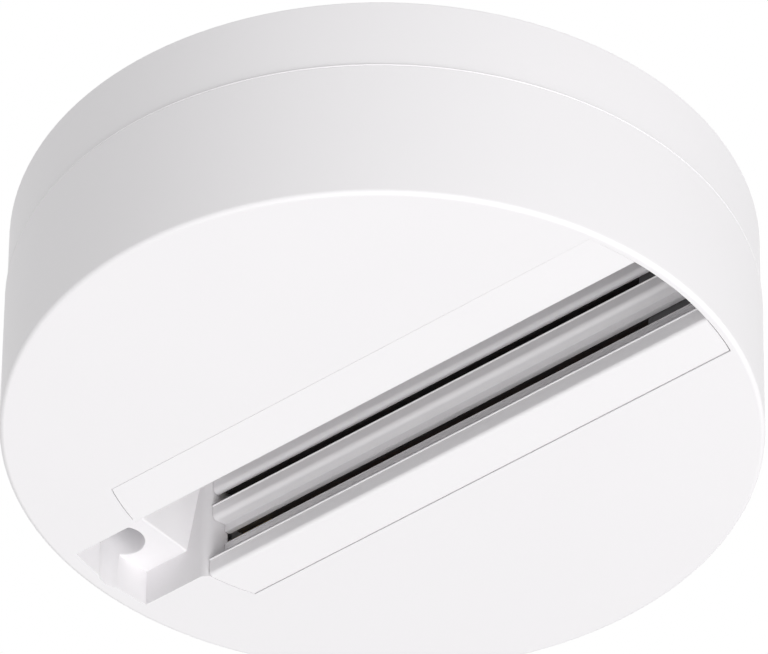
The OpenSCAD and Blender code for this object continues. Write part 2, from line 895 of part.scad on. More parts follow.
ceiling_base();
cover();
track_profile();
upper_insulator(near);  // upper_near_insulator
lower_insulator(near);  // lower_near_insulator
upper_insulator(far);  // upper_far_insulator
lower_insulator(far);  // lower_far_insulator
upper_conductor(near);  // upper_near_conductor
lower_conductor(near);  // lower_near_conductor
upper_conductor(far);  // upper_far_conductor
lower_conductor(far);  // lower_far_conductor
upper_end_plugs();
lower_end_plugs();
feed_block();
upper_contact(near);  // upper_near_contact
lower_contact(near);  // lower_near_contact
upper_contact(far);  // upper_far_contact
lower_contact(far);  // lower_far_contact
terminal_screws();
feed_block_screws();
track_screws();
track_inserts();
cover_screw();
cover_insert();
cable_grommet();
earth_screw();
earth_clamp();
earth_nut();
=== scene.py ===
"""Looks of a round white ceiling canopy that holds a short length of lighting track."""

import math

import bmesh
import bpy
from bpy.props import FloatProperty, FloatVectorProperty, IntProperty, PointerProperty
from mathutils import Matrix, Quaternion, Vector


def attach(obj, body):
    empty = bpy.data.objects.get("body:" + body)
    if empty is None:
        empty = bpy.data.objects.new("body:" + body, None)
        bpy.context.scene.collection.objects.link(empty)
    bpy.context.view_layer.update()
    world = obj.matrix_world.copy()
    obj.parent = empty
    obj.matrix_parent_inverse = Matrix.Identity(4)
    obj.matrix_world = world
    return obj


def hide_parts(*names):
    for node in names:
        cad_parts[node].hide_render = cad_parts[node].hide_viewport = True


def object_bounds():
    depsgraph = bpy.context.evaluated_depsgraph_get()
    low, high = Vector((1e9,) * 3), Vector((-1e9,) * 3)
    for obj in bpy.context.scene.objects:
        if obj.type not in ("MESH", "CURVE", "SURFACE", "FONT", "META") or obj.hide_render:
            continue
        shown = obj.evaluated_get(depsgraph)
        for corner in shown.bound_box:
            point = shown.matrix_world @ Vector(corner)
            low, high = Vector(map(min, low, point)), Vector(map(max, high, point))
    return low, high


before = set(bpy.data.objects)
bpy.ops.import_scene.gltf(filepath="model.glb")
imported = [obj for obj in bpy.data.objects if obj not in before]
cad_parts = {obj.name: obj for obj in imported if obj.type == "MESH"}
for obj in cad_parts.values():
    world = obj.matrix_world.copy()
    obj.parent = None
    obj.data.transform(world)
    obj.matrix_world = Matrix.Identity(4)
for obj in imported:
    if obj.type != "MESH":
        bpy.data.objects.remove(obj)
CAD_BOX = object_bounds()

bl_info = {
    "name": "Track canopy",
    "version": (1, 0, 0),
    "blender": (4, 5, 0),
    "location": "3D View > Sidebar > Track canopy",
    "description": "Dresses a round ceiling canopy that holds a short length of lighting track",
    "category": "Object",
}

BODY = "root"

# Camera of the photo
PHOTO_WIDTH = 768
SENSOR_WIDTH = 36.0
CLIP_NEAR = 0.05
CLIP_FAR = 50.0

# Tolerances, and angles between faces
WELD_DISTANCE = 1e-6
FACE_DEPTH = 1e-6
NEAR = 5e-6
HEAD_NEAR = 1e-5
ALONG = 0.99
UPWARD = 0.5
FLAT_ANGLE = math.radians(0.4)
HARD_ANGLE = math.radians(55)
SHARP_ANGLE = math.radians(42)

# Places and sizes in the CAD, in metres
WALL = 0.0011
POCKET_Y = 0.0108
POCKET_TOP = 0.0071
TRACK_LEFT = -0.0445
RAMP_FOOT = -0.0505
CAD_LIP_TOP = 0.0039
CAD_LIP_Y = 0.0088
CAD_LIP_R = 0.0006
CAD_LIP_DEPTH = 0.002
CAD_SHELF_TOP = 0.0083
CAD_SIDE_Y = 0.018
INSERT_BORE = 0.002

# Rows of the cover's wall: the groove's foot and bottom lie that many groove depths below the top
RIM_STEPS = 8
GROOVE_FOOT = 3.5
GROOVE_BOTTOM = 2.0

# Beads along the upper edges beside the slot
BEAD_REACH = 0.0130
BEAD_TOP = 0.0160
BEAD_SIDES = 12

# Screws: axes, dome of the head, cross recess, thread, and turn of each one
ACROSS, UP = 1, 2
HEAD_SIDES = 48
DOME_START = 0.12
DOME_STEP = 0.16
DOME_REACH = 0.72
DOME_FALL = 0.6
RECESS_ARM = 0.24
RECESS_OVER = 1.2
RECESS_FLOOR = 0.28
RECESS_TAPER = 0.55
SHANK_SIDES = 32
STEPS_PER_PITCH = 6
THREAD_START = 0.0004
THREAD_RUNOUT = 0.0008
TIP_LENGTH = 0.0005
TIP_TAPER = 0.8
FIRST_TURN = 0.4
NEXT_TURN = 0.7

# Threaded inserts: waist, thread and fineness
WAIST_SHARE = 0.1
WAIST_DEPTH = 2.2
INSERT_THREAD = 0.0001
INSERT_STEP = 0.00012
POINTS_PER_RIDGE = 4

# Bump of grained and of drawn surfaces
GRAIN_BUMP = 0.1
LINE_BUMP = 0.00002
LINE_STRENGTH = 0.15

# Lamps, with their sides as right, front and up in the photo's view
LAMP_SIZE = 1.1
LAMP_DISTANCE = 1.6
KEY_SIDE = (0.58, 0.58, -0.57)
LOW_SIDE = (0.0, 0.42, -0.91)

# Floor
FLOOR_SIZE = 12.0
FLOOR_CELLS = 8
FLOOR_COLOUR = (0.86, 0.86, 0.86, 1)
FLOOR_ROUGHNESS = 0.8
FLOOR_GLOW = 0.35


def colour_property(name, description, default):
    """A colour that a user would change."""
    return FloatVectorProperty(
        name=name, description=description, default=default, subtype="COLOR", size=3, min=0, max=1
    )


def length_property(name, description, default):
    """A length in metres that a user would change."""
    return FloatProperty(
        name=name, description=description, default=default, min=0, unit="LENGTH", precision=5
    )


def power_property(name, description, default):
    """A lamp's power in watts."""
    return FloatProperty(name=name, description=description, default=default, min=0, unit="POWER")


def angle_property(name, description, degrees):
    """An angle of the camera."""
    return FloatProperty(
        name=name, description=description, default=math.radians(degrees), subtype="ANGLE"
    )


def pixel_property(name, description, default):
    """A length in pixels of the image."""
    return FloatProperty(name=name, description=description, default=default, subtype="PIXEL")


class CanopyFinishes(bpy.types.PropertyGroup):
    """Colours of the canopy's pieces."""

    white_moulding: colour_property(
        "White moulding", "Plastic of the cover and the base", (0.895, 0.88, 0.895)
    )
    track_paint: colour_property(
        "Track paint", "Powder coat of the track section", (0.91, 0.895, 0.91)
    )
    insulation: colour_property(
        "Insulation", "Extruded insulators in the track", (0.02, 0.02, 0.021)
    )
    end_plug: colour_property("End plugs", "Stops at the end of the grooves", (0.11, 0.11, 0.113))
    terminal_body: colour_property(
        "Terminal body", "Moulding of the feed block", (0.8, 0.79, 0.76)
    )
    copper: colour_property("Copper", "Conductor strips", (0.72, 0.36, 0.22))
    brass: colour_property("Brass", "Contacts, inserts and earth clamp", (0.75, 0.55, 0.24))
    zinc: colour_property("Zinc plate", "Screws and nut", (0.66, 0.67, 0.69))
    rubber: colour_property("Rubber", "Cable grommet", (0.018, 0.018, 0.019))


class CanopyEdges(bpy.types.PropertyGroup):
    """Small roundings, beads and places of the pieces' edges."""

    drum: length_property("Drum", "Rounding of the moulded cover and base", 0.00035)
    joint: length_property("Joint", "Rounding of the edges at the joints between pieces", 0.00004)
    rim: length_property("Rim", "Rounding of the slotted face's outer edge", 0.0008)
    groove: length_property(
        "Groove", "Depth of the fine groove under the cover's upper edge", 0.00012
    )
    track: length_property("Track", "Rounding of the extruded track", 0.00016)
    lip_top: length_property("Lip top", "Height of the track's lips", 0.0035)
    lip_set: length_property(
        "Lip set", "Distance that the far lip stands back from the slot", 0.0007
    )
    lip_round: length_property("Lip round", "Rounding of the far lip's inner edge", 0.0008)
    side_set: length_property(
        "Side set", "Distance that the track's left end lies nearer the camera", 0.00008
    )
    skew: length_property(
        "Skew", "Distance that the track's right end lies nearer the camera than its left", 0.00006
    )
    end_set: length_property(
        "End set", "Distance that the near lip reaches on to the right", 0.00012
    )
    shelf_top: length_property("Shelf top", "Height of the track's lower shelves", 0.0081)
    bead: length_property("Bead", "Radius of the raised edges beside the slot", 0.00016)
    insulation: length_property("Insulation", "Rounding of insulators and plugs", 0.0001)
    metal: length_property("Metal", "Rounding of strips, contacts, clamp and nut", 0.0001)
    rubber: length_property("Rubber", "Rounding of the grommet", 0.0003)


class CanopyFasteners(bpy.types.PropertyGroup):
    """Small detail of screws and inserts."""

    thread_pitch: length_property("Thread pitch", "Pitch of the screw threads", 0.0007)
    thread_depth: length_property("Thread depth", "Depth of the screw threads", 0.0003)
    recess_share: FloatProperty(
        name="Recess share",
        description="Width of the cross recess as a share of the head's width",
        default=0.56,
        min=0.3,
        max=0.8,
        subtype="FACTOR",
    )
    knurl_count: IntProperty(
        name="Knurl count", description="Ridges round a threaded insert", default=28, min=12, max=60
    )
    knurl_depth: length_property("Knurl depth", "Depth of the inserts' ridges", 0.00016)


class CanopyStage(bpy.types.PropertyGroup):
    """Camera, lamps and floor."""

    azimuth: angle_property("Azimuth", "Side from which the camera looks", 40.46)
    elevation: angle_property("Elevation", "Height of the camera", -38.70)
    roll: angle_property("Roll", "Roll of the camera", 0.714)
    distance: FloatProperty(
        name="Distance",
        description="Distance from the camera to the slotted face",
        default=1.6,
        unit="LENGTH",
    )
    focal_pixels: pixel_property("Focal length", "Focal length in pixels of the image", 9802.0)
    aim_right: pixel_property(
        "Aim right", "Pixels that the view lies right of the face's middle", 0.47
    )
    aim_up: pixel_property("Aim up", "Pixels that the view lies above the face's middle", 112.58)
    key_power: power_property("Key power", "Lamp below the canopy, to the camera's right", 11.8)
    low_power: power_property("Low power", "Lamp almost straight below the canopy", 7.8)
    ambient: FloatProperty(
        name="Ambient", description="Strength of the even light all round", default=0.6, min=0
    )
    floor_depth: length_property("Floor depth", "Distance from the canopy down to the floor", 3.2)


# Shader node groups


def new_group(name, inputs, outputs):
    """An empty node group with the named sockets, and its input and output nodes."""
    group = bpy.data.node_groups.new(name, "ShaderNodeTree")
    for label, kind, default in inputs:
        socket = group.interface.new_socket(label, in_out="INPUT", socket_type=kind)
        if default is not None:
            socket.default_value = default
    for label, kind in outputs:
        group.interface.new_socket(label, in_out="OUTPUT", socket_type=kind)
    return group, group.nodes.new("NodeGroupInput"), group.nodes.new("NodeGroupOutput")


def place(tree, kind, **settings):
    """A new node with its settings."""
    node = tree.nodes.new(kind)
    for name, value in settings.items():
        setattr(node, name, value)
    return node


def spread(tree, source, low, high):
    """Map Range from 0..1 to the two sockets or numbers given."""
    node = place(tree, "ShaderNodeMapRange")
    tree.links.new(source, node.inputs["Value"])
    for label, value in (("To Min", low), ("To Max", high)):
        if isinstance(value, (int, float)):
            node.inputs[label].default_value = value
        else:
            tree.links.new(value, node.inputs[label])
    return node.outputs["Result"]


def grain_group():
    """Fine pebbled surface of mouldings and powder coat, with a broad drift of tone."""
    group, enter, leave = new_group(
        "Fine grain",
        [
            ("Vector", "NodeSocketVector", None),
            ("Grain size", "NodeSocketFloat", 0.0004),
            ("Base", "NodeSocketColor", (0.8, 0.8, 0.8, 1)),
            ("Drift", "NodeSocketColor", (0.78, 0.78, 0.78, 1)),
            ("Smooth", "NodeSocketFloat", 0.35),
            ("Rough", "NodeSocketFloat", 0.45),
        ],
        [
            ("Color", "NodeSocketColor"),
            ("Roughness", "NodeSocketFloat"),
            ("Height", "NodeSocketFloat"),
        ],
    )
    link = group.links.new
    per_metre = place(group, "ShaderNodeMath", operation="DIVIDE")
    per_metre.inputs[0].default_value = 1.0
    link(enter.outputs["Grain size"], per_metre.inputs[1])
    fine = place(group, "ShaderNodeTexNoise")
    fine.inputs["Detail"].default_value = 3.0
    fine.inputs["Roughness"].default_value = 0.55
    link(enter.outputs["Vector"], fine.inputs["Vector"])
    link(per_metre.outputs[0], fine.inputs["Scale"])
    pebble = place(group, "ShaderNodeTexVoronoi", feature="SMOOTH_F1")
    link(enter.outputs["Vector"], pebble.inputs["Vector"])
    link(per_metre.outputs[0], pebble.inputs["Scale"])
    broad = place(group, "ShaderNodeTexNoise")
    broad.inputs["Scale"].default_value = 38.0
    broad.inputs["Detail"].default_value = 2.0
    link(enter.outputs["Vector"], broad.inputs["Vector"])
    tone = place(group, "ShaderNodeMix", data_type="RGBA")
    link(broad.outputs["Fac"], tone.inputs["Factor"])
    link(enter.outputs["Base"], tone.inputs["A"])
    link(enter.outputs["Drift"], tone.inputs["B"])
    height = place(group, "ShaderNodeMath", operation="ADD")
    link(fine.outputs["Fac"], height.inputs[0])
    link(pebble.outputs["Distance"], height.inputs[1])
    link(tone.outputs["Result"], leave.inputs["Color"])
    link(
        spread(group, fine.outputs["Fac"], enter.outputs["Smooth"], enter.outputs["Rough"]),
        leave.inputs["Roughness"],
    )
    link(height.outputs[0], leave.inputs["Height"])
    return group


def drawn_group():
    """Fine lines along the length of drawn strip and turned metal."""
    group, enter, leave = new_group(
        "Drawn lines",
        [
            ("Vector", "NodeSocketVector", None),
            ("Stretch", "NodeSocketVector", (60.0, 9000.0, 9000.0)),
            ("Bright", "NodeSocketColor", (0.8, 0.8, 0.8, 1)),
            ("Dull", "NodeSocketColor", (0.6, 0.6, 0.6, 1)),
            ("Smooth", "NodeSocketFloat", 0.2),
            ("Rough", "NodeSocketFloat", 0.4),
        ],
        [
            ("Color", "NodeSocketColor"),
            ("Roughness", "NodeSocketFloat"),
            ("Height", "NodeSocketFloat"),
        ],
    )
    link = group.links.new
    stretched = place(group, "ShaderNodeVectorMath", operation="MULTIPLY")
    link(enter.outputs["Vector"], stretched.inputs[0])
    link(enter.outputs["Stretch"], stretched.inputs[1])
    lines = place(group, "ShaderNodeTexNoise")
    lines.inputs["Scale"].default_value = 1.0
    lines.inputs["Detail"].default_value = 4.0
    link(stretched.outputs[0], lines.inputs["Vector"])
    stain = place(group, "ShaderNodeTexNoise")
    stain.inputs["Scale"].default_value = 220.0
    stain.inputs["Detail"].default_value = 3.0
    link(enter.outputs["Vector"], stain.inputs["Vector"])
    tone = place(group, "ShaderNodeMix", data_type="RGBA")
    link(stain.outputs["Fac"], tone.inputs["Factor"])
    link(enter.outputs["Bright"], tone.inputs["A"])
    link(enter.outputs["Dull"], tone.inputs["B"])
    link(tone.outputs["Result"], leave.inputs["Color"])
    link(
        spread(group, lines.outputs["Fac"], enter.outputs["Smooth"], enter.outputs["Rough"]),
        leave.inputs["Roughness"],
    )
    link(lines.outputs["Fac"], leave.inputs["Height"])
    return group


def group_named(name, maker):
    """The node group of that name, built on its first use."""
    return bpy.data.node_groups.get(name) or maker()


def shaded(colour, share):
    """A colour with four parts, darkened to a share of itself."""
    return (*[part * share for part in colour], 1.0)


def surface(name, group, values, bump_distance, bump_strength, metallic=0.0, gloss=0.5):
    """A material whose colour, roughness and bump come from one placed node group."""
    material = bpy.data.materials.get(name)
    if material:
        return material
    material = bpy.data.materials.new(name)
    material.use_nodes = True
    tree = material.node_tree
    shader = tree.nodes["Principled BSDF"]
    shader.inputs["Metallic"].default_value = metallic
    shader.inputs["Specular IOR Level"].default_value = gloss
    effect = place(tree, "ShaderNodeGroup", node_tree=group)
    for label, value in values.items():
        effect.inputs[label].default_value = value
    where = place(tree, "ShaderNodeTexCoord")
    tree.links.new(where.outputs["Object"], effect.inputs["Vector"])
    bump = place(tree, "ShaderNodeBump")
    bump.inputs["Strength"].default_value = bump_strength
    bump.inputs["Distance"].default_value = bump_distance
    tree.links.new(effect.outputs["Height"], bump.inputs["Height"])
    tree.links.new(effect.outputs["Color"], shader.inputs["Base Color"])
    tree.links.new(effect.outputs["Roughness"], shader.inputs["Roughness"])
    tree.links.new(bump.outputs["Normal"], shader.inputs["Normal"])
    return material


def grained(name, colour, drift, grain_size, smooth, rough, bump_strength, gloss=0.5):
    """Moulded plastic, rubber or powder coat."""
    values = {
        "Grain size": grain_size,
        "Base": shaded(colour, 1.0),
        "Drift": shaded(colour, drift),
        "Smooth": smooth,
        "Rough": rough,
    }
    group = group_named("Fine grain", grain_group)
    return surface(name, group, values, grain_size * GRAIN_BUMP, bump_strength, gloss=gloss)


def drawn(name, colour, dull, stretch, smooth, rough):
    """Bare or plated metal with lines from drawing or turning."""
    values = {
        "Stretch": stretch,
        "Bright": shaded(colour, 1.0),
        "Dull": shaded(colour, dull),
        "Smooth": smooth,
        "Rough": rough,
    }
    group = group_named("Drawn lines", drawn_group)
    return surface(name, group, values, LINE_BUMP, LINE_STRENGTH, metallic=1.0)


def white_moulding():
    """Satin white plastic of cover and base."""
    colour = bpy.context.scene.canopy_finishes.white_moulding
    return grained(
        "White moulding",
        colour,
        drift=0.985,
        grain_size=0.0003,
        smooth=0.36,
        rough=0.46,
        bump_strength=0.12,
        gloss=0.25,
    )


def track_paint():
    """White powder coat on the extruded track."""
    colour = bpy.context.scene.canopy_finishes.track_paint
    return grained(
        "Track powder coat",
        colour,
        drift=0.98,
        grain_size=0.0006,
        smooth=0.3,
        rough=0.42,
        bump_strength=0.2,
    )


def black_insulation():
    """Matt black extrusion of the insulators."""
    colour = bpy.context.scene.canopy_finishes.insulation
    return grained(
        "Black insulation",
        colour,
        drift=1.3,
        grain_size=0.0002,
        smooth=0.45,
        rough=0.6,
        bump_strength=0.2,
    )


def plug_moulding():
    """Dark grey moulding of the end plugs."""
    colour = bpy.context.scene.canopy_finishes.end_plug
    return grained(
        "Grey plug moulding",
        colour,
        drift=1.15,
        grain_size=0.0002,
        smooth=0.45,
        rough=0.6,
        bump_strength=0.2,
    )


def terminal_moulding():
    """Off-white moulding of the feed block."""
    colour = bpy.context.scene.canopy_finishes.terminal_body
    return grained(
        "Terminal moulding",
        colour,
        drift=0.96,
        grain_size=0.0003,
        smooth=0.35,
        rough=0.5,
        bump_strength=0.15,
    )


def grommet_rubber():
    """Matt black rubber of the cable grommet."""
    colour = bpy.context.scene.canopy_finishes.rubber
    return grained(
        "Grommet rubber",
        colour,
        drift=1.25,
        grain_size=0.0004,
        smooth=0.6,
        rough=0.8,
        bump_strength=0.35,
    )


def conductor_copper():
    """Copper strip, drawn along the slot."""
    colour = bpy.context.scene.canopy_finishes.copper
    return drawn(
        "Drawn copper", colour, dull=0.8, stretch=(60.0, 9000.0, 9000.0), smooth=0.22, rough=0.4
    )


def turned_brass():
    """Plain brass of contacts, inserts and clamp."""
    colour = bpy.context.scene.canopy_finishes.brass
    return drawn(
        "Plain brass", colour, dull=0.82, stretch=(2500.0, 2500.0, 9000.0), smooth=0.22, rough=0.38
    )


def zinc_plate():
    """Zinc plate of screws and nut."""
    colour = bpy.context.scene.canopy_finishes.zinc
    return drawn(
        "Zinc plate", colour, dull=0.85, stretch=(3000.0, 3000.0, 7000.0), smooth=0.24, rough=0.42
    )


# Meshes


def show(name, mesh, material, nodes):
    """Puts a finished mesh in the scene as a piece that stands for CAD nodes."""
    mesh.materials.clear()
    mesh.materials.append(material)
    for attribute in ("custom_normal", "sharp_face"):
        if attribute in mesh.attributes:
            mesh.attributes.remove(mesh.attributes[attribute])
    mesh.polygons.foreach_set("use_smooth", [True] * len(mesh.polygons))
    mesh.set_sharp_from_angle(angle=SHARP_ANGLE)
    piece = bpy.data.objects.new(name, mesh)
    bpy.context.scene.collection.objects.link(piece)
    weighted = piece.modifiers.new("Even shading", "WEIGHTED_NORMAL")
    weighted.keep_sharp = True
    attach(piece, BODY)
    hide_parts(*nodes)
    return piece


def rounded(node, radius, material, steps=2, reshape=None, share_at=None):
    """A copy of a CAD node with its outer hard edges rounded, each to its share of the radius."""
    shape = bmesh.new()
    shape.from_mesh(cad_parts[node].data)
    bmesh.ops.remove_doubles(shape, verts=shape.verts[:], dist=WELD_DISTANCE)
    if reshape:
        reshape(shape)
    bmesh.ops.dissolve_limit(
        shape, angle_limit=FLAT_ANGLE, verts=shape.verts[:], edges=shape.edges[:]
    )
    share = shape.edges.layers.float.new("bevel_weight_edge")
    for edge in shape.edges:
        if edge.is_convex and edge.calc_face_angle(0.0) > HARD_ANGLE:
            edge[share] = share_at(edge) if share_at else 1.0
    mesh = bpy.data.meshes.new(node + "_hard")
    shape.to_mesh(mesh)
    shape.free()
    body = bpy.data.objects.new(node + "_hard", mesh)
    bevel = body.modifiers.new("Rounded edges", "BEVEL")
    bevel.limit_method = "WEIGHT"
    bevel.width = radius
    bevel.segments = steps
    bevel.use_clamp_overlap = False
    return show(node + "_piece", finished(body), material, [node])


def edge_middle(edge):
    """Point halfway along an edge."""
    return (edge.verts[0].co + edge.verts[1].co) / 2


def drum_share(edge):
    """Share of the drum's rounding: fine at its joints, full where it shows, none inside."""
    edges = bpy.context.scene.canopy_edges
    _, high = CAD_BOX
    middle = edge_middle(edge)
    at_ceiling = middle.z > high[2] - FACE_DEPTH
    at_wall = math.hypot(middle.x, middle.y) > high[0] - WALL
    in_face = all(abs(vert.co.z) < FACE_DEPTH for vert in edge.verts)
    if in_face or (at_wall and not at_ceiling):
        return edges.joint / edges.drum
    over_pocket = abs(middle.y) < POCKET_Y and middle.x < TRACK_LEFT
    in_pocket = over_pocket and (middle.z < POCKET_TOP or middle.x > RAMP_FOOT)
    return 1.0 if at_ceiling or in_pocket else 0.0


def track_share(edge):
    """Share of the track's rounding: full along the slot, fine in the face, none at the ends."""
    edges = bpy.context.scene.canopy_edges
    way = (edge.verts[1].co - edge.verts[0].co).normalized()
    if abs(way.x) < ALONG:
        return 0.0
    in_face = all(abs(vert.co.z) < FACE_DEPTH for vert in edge.verts)
    return edges.joint / edges.track if in_face else 1.0


def raise_edges(shape):
    """Brings the track's lips, shelves and sides to the photo's place, and adds its beads."""
    edges = bpy.context.scene.canopy_edges
    for vert in shape.verts:
        place_side(vert, edges)
        place_lip(vert, edges)
    shape.normal_update()
    for edge in [e for e in shape.edges if beside_slot(e)]:
        add_bead(shape, edge, edges.bead)


def place_side(vert, edges):
    """Lays a point of the track's sides or near lip so that the track is a little askew."""
    at_right = vert.co.x > 0
    if at_right and vert.co.y < 0 and vert.co.z < CAD_LIP_TOP + NEAR:
        vert.co.x += edges.end_set
    if abs(vert.co.y) > CAD_SIDE_Y - NEAR:
        vert.co.y -= edges.side_set + (edges.skew if at_right else 0)


def place_lip(vert, edges):
    """Brings a point of the lips or lower shelves to the photo's place."""
    from_lip = vert.co.y - CAD_LIP_Y
    at_lip_top = abs(vert.co.z - CAD_LIP_TOP) < NEAR
    if vert.co.z < CAD_LIP_R + NEAR and -NEAR < from_lip < CAD_LIP_R + NEAR:
        widening = edges.lip_round / CAD_LIP_R
        shift_across(vert, CAD_LIP_Y + edges.lip_set + from_lip * widening)
        vert.co.z *= widening
    elif at_lip_top and -NEAR < from_lip < CAD_LIP_DEPTH:
        shift_across(vert, vert.co.y + edges.lip_set * (1 - from_lip / CAD_LIP_DEPTH))
    if at_lip_top:
        vert.co.z = edges.lip_top
    elif abs(vert.co.z - CAD_SHELF_TOP) < NEAR:
        vert.co.z = edges.shelf_top


def shift_across(vert, y):
    """Moves a point of the track's round end across the slot, along that end."""
    along = math.sqrt(reach_of(vert) ** 2 - y**2)
    vert.co.x, vert.co.y = math.copysign(along, vert.co.x), y


def beside_slot(edge):
    """Whether an edge lies between an upper face and a face that looks into the slot."""
    middle = edge_middle(edge)
    if abs(middle.y) > BEAD_REACH or middle.z > BEAD_TOP or len(edge.link_faces) != 2:
        return False
    normals = [face.normal for face in edge.link_faces]
    up = any(n.z > ALONG for n in normals)
    inward = any(n.y * middle.y < -ALONG * abs(middle.y) for n in normals)
    return up and inward


def add_bead(shape, edge, radius):
    """Adds a closed round bar along an edge, level with the upper face."""
    turns = [2 * math.pi * i / BEAD_SIDES for i in range(BEAD_SIDES)]
    rings = []
    for end in sorted(edge.verts, key=lambda vert: vert.co.x):
        middle = end.co - Vector((0, 0, radius))
        offsets = [Vector((0, math.cos(t), math.sin(t))) * radius for t in turns]
        rings.append([shape.verts.new(middle + offset) for offset in offsets])
    left, right = rings
    shape.faces.new(left[::-1])
    shape.faces.new(right)
    for i in range(BEAD_SIDES):
        k = (i + 1) % BEAD_SIDES
        shape.faces.new([left[i], left[k], right[k], right[i]])


def even_wall(shape):
    """Draws the cover's wall again in even rows, from its rounded rim up to a fine groove."""
    edges = bpy.context.scene.canopy_edges
    outer_r = max(reach_of(v) for v in shape.verts)
    top = max(v.co.z for v in shape.verts if reach_of(v) > outer_r - NEAR)

    def on_rim(vert):
        return reach_of(vert) > outer_r - edges.rim - NEAR and vert.co.z < edges.rim + NEAR

    def on_wall(vert):
        return reach_of(vert) > outer_r - NEAR

    def slopes(face):
        return face.normal.z < UPWARD and any(vert.co.z > NEAR for vert in face.verts)

    old = [f for f in shape.faces if slopes(f) and all(on_rim(v) or on_wall(v) for v in f.verts)]
    bmesh.ops.delete(shape, geom=old, context="FACES")
    open_verts = [v for v in shape.verts if any(e.is_boundary for e in v.link_edges)]
    face_loop = in_turn([v for v in open_verts if on_rim(v) and v.co.z < NEAR])
    top_loop = in_turn([v for v in open_verts if on_wall(v) and v.co.z > top - NEAR])
    rows = [face_loop]
    for reach, rise in wall_levels(edges, outer_r, top):
        share = reach / outer_r
        rows.append([shape.verts.new((v.co.x * share, v.co.y * share, rise)) for v in top_loop])
    rows.append(top_loop)
    for lower, upper in zip(rows, rows[1:]):
        join_rings(shape, lower, upper)


def wall_levels(edges, outer_r, top):
    """Radius and height of each row of the cover's wall, from its rim up to its groove."""
    turns = [math.pi / 2 * k / RIM_STEPS for k in range(1, RIM_STEPS + 1)]
    inner_r = outer_r - edges.rim
    rim = [(inner_r + edges.rim * math.sin(t), edges.rim * (1 - math.cos(t))) for t in turns]
    groove = [
        (outer_r, top - GROOVE_FOOT * edges.groove),
        (outer_r - edges.groove, top - GROOVE_BOTTOM * edges.groove),
        (outer_r, top - edges.groove),
    ]
    return rim + groove


def reach_of(vert):
    """Distance of a point from the drum's axis."""
    return math.hypot(vert.co.x, vert.co.y)


def turn_of(vert):
    """Angle of a point round the drum's axis."""
    return math.atan2(vert.co.y, vert.co.x)


def in_turn(verts):
    """Points in order of their angle round the drum's axis."""
    return sorted(verts, key=turn_of)


def join_rings(shape, lower, upper):
    """Fills the band between two rings that may have different numbers of points."""

    def turn_at(ring, number):
        rounds, place_in_ring = divmod(number, len(ring))
        return turn_of(ring[place_in_ring]) + 2 * math.pi * rounds

    i = k = 0
    while i < len(lower) or k < len(upper):
        lower_first = turn_at(lower, i + 1) <= turn_at(upper, k + 1)
        a, b = lower[i % len(lower)], upper[k % len(upper)]
        if k == len(upper) or (i < len(lower) and lower_first):
            i += 1
            shape.faces.new([a, lower[i % len(lower)], b])
        else:
            k += 1
            shape.faces.new([a, upper[k % len(upper)], b])


def finished(body):
    """The mesh that an object's modifiers give. The object and its own mesh are taken away."""
    bpy.context.scene.collection.objects.link(body)
    bpy.context.view_layer.update()
    graph = bpy.context.evaluated_depsgraph_get()
    made = bpy.data.meshes.new_from_object(body.evaluated_get(graph))
    mesh = body.data
    bpy.data.objects.remove(body)
    bpy.data.meshes.remove(mesh)
    return made


def solids_of(node):
    """Corner points of each separate solid of a CAD node, in metres."""
    shape = bmesh.new()
    shape.from_mesh(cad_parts[node].data)
    bmesh.ops.remove_doubles(shape, verts=shape.verts[:], dist=WELD_DISTANCE)
    left, found = set(shape.verts), []
    while left:
        start = left.pop()
        group, border = [start], [start]
        while border:
            for edge in border.pop().link_edges:
                for vert in edge.verts:
                    if vert in left:
                        left.discard(vert)
                        group.append(vert)
                        border.append(vert)
        found.append([v.co.copy() for v in group])
    shape.free()
    return sorted(found, key=lambda points: tuple(points_box(points)[0]))


def points_box(points):
    """Lowest and highest corner of some points."""
    low = Vector([min(p[k] for p in points) for k in range(3)])
    high = Vector([max(p[k] for p in points) for k in range(3)])
    return low, high


def turned(shape, radius_at, heights, sides, bore_at=None):
    """Adds a closed turned form whose radius may change with angle and height."""

    def grid(radius):
        rows = []
        for z in heights:
            angles = [2 * math.pi * i / sides for i in range(sides)]
            rows.append(
                [
                    shape.verts.new((radius(a, z) * math.cos(a), radius(a, z) * math.sin(a), z))
                    for a in angles
                ]
            )
        return rows

    def wall(rows, inward):
        for lower, upper in zip(rows, rows[1:]):
            for i in range(sides):
                k = (i + 1) % sides
                corners = [lower[i], lower[k], upper[k], upper[i]]
                shape.faces.new(corners[::-1] if inward else corners)

    outer = grid(radius_at)
    wall(outer, False)
    if bore_at is None:
        shape.faces.new(outer[0][::-1])
        shape.faces.new(outer[-1])
        return
    inner = grid(bore_at)
    wall(inner, True)
    for i in range(sides):
        k = (i + 1) % sides
        shape.faces.new([outer[0][k], outer[0][i], inner[0][i], inner[0][k]])
        shape.faces.new([outer[-1][i], outer[-1][k], inner[-1][k], inner[-1][i]])


def steps_between(low, high, step):
    """Evenly spaced heights from low to high, about a step apart."""
    count = max(2, round((high - low) / step))
    return [low + (high - low) * i / count for i in range(count + 1)]


def saw(phase):
    """Wave from 0 to 1 and back over one turn of the phase."""
    return abs(2 * (phase - math.floor(phase)) - 1)


